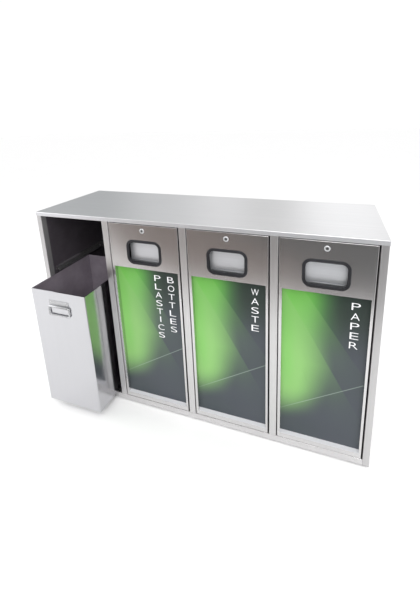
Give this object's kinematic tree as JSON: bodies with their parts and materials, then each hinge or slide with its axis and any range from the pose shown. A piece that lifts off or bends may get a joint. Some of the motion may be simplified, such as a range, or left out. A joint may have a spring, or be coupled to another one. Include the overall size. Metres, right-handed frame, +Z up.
{
  "type": "recycling bin station",
  "caption": "Free-standing stainless recycling cabinet with lockable flap doors over pull-out bins; the first bay stands open, its bin drawn forward.",
  "frame": {"origin": "on the floor, under the middle of the cabinet's footprint", "axes": "+X to the right of someone facing the doors, +Y from the doors to the back, +Z up"},
  "size_m": [1.6036, 0.6329, 1.02],
  "materials": {
    "brushed_stainless": "brushed, grain along the sheet",
    "satin_stainless": "fine satin",
    "inner_panels": "plain mill finish",
    "printed_panel": "gloss print, green fading to slate grey",
    "trim_rubber": "matt extruded rubber",
    "bright_hardware": "plated",
    "black_plastic": "moulded nylon"
  },
  "bodies": {
    "cabinet": {"side_panel_left": "brushed_stainless", "side_panel_right": "brushed_stainless", "floor_panel": "brushed_stainless", "header_rail": "brushed_stainless", "top_panel": "brushed_stainless", "back_panel": "brushed_stainless", "divider_panel_1": "inner_panels", "divider_panel_2": "inner_panels", "divider_panel_3": "inner_panels", "stile_1": "brushed_stainless", "stile_2": "brushed_stainless", "stile_3": "brushed_stainless", "guide_rails": "brushed_stainless", "bin_runners": "black_plastic", "levelling_feet": "black_plastic", "pivot_bushings": "black_plastic", "frame_fasteners": "bright_hardware"},
    "door_2": {"door_panel_2": "brushed_stainless", "graphic_panel_2": "printed_panel", "window_trim_2": "trim_rubber", "flap_axle_2": "bright_hardware", "flap_brackets_2": "bright_hardware", "lock_barrel_2": "bright_hardware", "pivot_pins_2": "bright_hardware"},
    "flap_2": {"flap_2": "satin_stainless"},
    "lock_2": {"lock_plug_2": "bright_hardware", "lock_cam_2": "bright_hardware"},
    "door_3": {"door_panel_3": "brushed_stainless", "graphic_panel_3": "printed_panel", "window_trim_3": "trim_rubber", "flap_axle_3": "bright_hardware", "flap_brackets_3": "bright_hardware", "lock_barrel_3": "bright_hardware", "pivot_pins_3": "bright_hardware"},
    "flap_3": {"flap_3": "satin_stainless"},
    "lock_3": {"lock_plug_3": "bright_hardware", "lock_cam_3": "bright_hardware"},
    "door_4": {"door_panel_4": "brushed_stainless", "graphic_panel_4": "printed_panel", "window_trim_4": "trim_rubber", "flap_axle_4": "bright_hardware", "flap_brackets_4": "bright_hardware", "lock_barrel_4": "bright_hardware", "pivot_pins_4": "bright_hardware"},
    "flap_4": {"flap_4": "satin_stainless"},
    "lock_4": {"lock_plug_4": "bright_hardware", "lock_cam_4": "bright_hardware"},
    "bin_1": {"bin_1": "satin_stainless", "handle_plate_1": "bright_hardware"},
    "bail_1": {"bail_1": "bright_hardware"},
    "bin_2": {"bin_2": "satin_stainless", "handle_plate_2": "bright_hardware"},
    "bail_2": {"bail_2": "bright_hardware"},
    "bin_3": {"bin_3": "satin_stainless", "handle_plate_3": "bright_hardware"},
    "bail_3": {"bail_3": "bright_hardware"},
    "bin_4": {"bin_4": "satin_stainless", "handle_plate_4": "bright_hardware"},
    "bail_4": {"bail_4": "bright_hardware"}
  },
  "joints": [
    {"name": "door_2_hinge", "type": "hinge", "parent": "cabinet", "child": "door_2", "pos_m": [-0.0325, -0.23, 0.035], "axis": [0, 0, 1], "range_deg": [0, 110]},
    {"name": "flap_2_swing", "type": "hinge", "parent": "door_2", "child": "flap_2", "pos_m": [-0.19735, -0.218, 0.9205], "axis": [1, 0, 0], "range_deg": [0, 75]},
    {"name": "lock_2_turn", "type": "hinge", "parent": "door_2", "child": "lock_2", "pos_m": [-0.19735, -0.24, 0.969], "axis": [0, 1, 0], "range_deg": [0, 90]},
    {"name": "door_3_hinge", "type": "hinge", "parent": "cabinet", "child": "door_3", "pos_m": [0.3622, -0.23, 0.035], "axis": [0, 0, 1], "range_deg": [0, 110]},
    {"name": "flap_3_swing", "type": "hinge", "parent": "door_3", "child": "flap_3", "pos_m": [0.19735, -0.218, 0.9205], "axis": [1, 0, 0], "range_deg": [0, 75]},
    {"name": "lock_3_turn", "type": "hinge", "parent": "door_3", "child": "lock_3", "pos_m": [0.19735, -0.24, 0.969], "axis": [0, 1, 0], "range_deg": [0, 90]},
    {"name": "door_4_hinge", "type": "hinge", "parent": "cabinet", "child": "door_4", "pos_m": [0.7569, -0.23, 0.035], "axis": [0, 0, 1], "range_deg": [0, 110]},
    {"name": "flap_4_swing", "type": "hinge", "parent": "door_4", "child": "flap_4", "pos_m": [0.59205, -0.218, 0.9205], "axis": [1, 0, 0], "range_deg": [0, 75]},
    {"name": "lock_4_turn", "type": "hinge", "parent": "door_4", "child": "lock_4", "pos_m": [0.59205, -0.24, 0.969], "axis": [0, 1, 0], "range_deg": [0, 90]},
    {"name": "bin_1_slide", "type": "slide", "parent": "cabinet", "child": "bin_1", "axis": [0, -1, 0], "range_m": [-0.21, 0.28]},
    {"name": "bail_1_lift", "type": "hinge", "parent": "bin_1", "child": "bail_1", "pos_m": [-0.59205, -0.3856, 0.608], "axis": [-1, 0, 0], "range_deg": [0, 115]},
    {"name": "bin_2_slide", "type": "slide", "parent": "cabinet", "child": "bin_2", "axis": [0, -1, 0], "range_m": [0, 0.03]},
    {"name": "bail_2_lift", "type": "hinge", "parent": "bin_2", "child": "bail_2", "pos_m": [-0.19735, -0.1756, 0.608], "axis": [-1, 0, 0], "range_deg": [0, 45]},
    {"name": "bin_3_slide", "type": "slide", "parent": "cabinet", "child": "bin_3", "axis": [0, -1, 0], "range_m": [0, 0.03]},
    {"name": "bail_3_lift", "type": "hinge", "parent": "bin_3", "child": "bail_3", "pos_m": [0.19735, -0.1756, 0.608], "axis": [-1, 0, 0], "range_deg": [0, 45]},
    {"name": "bin_4_slide", "type": "slide", "parent": "cabinet", "child": "bin_4", "axis": [0, -1, 0], "range_m": [0, 0.03]},
    {"name": "bail_4_lift", "type": "hinge", "parent": "bin_4", "child": "bail_4", "pos_m": [0.59205, -0.1756, 0.608], "axis": [-1, 0, 0], "range_deg": [0, 45]}
  ]
}
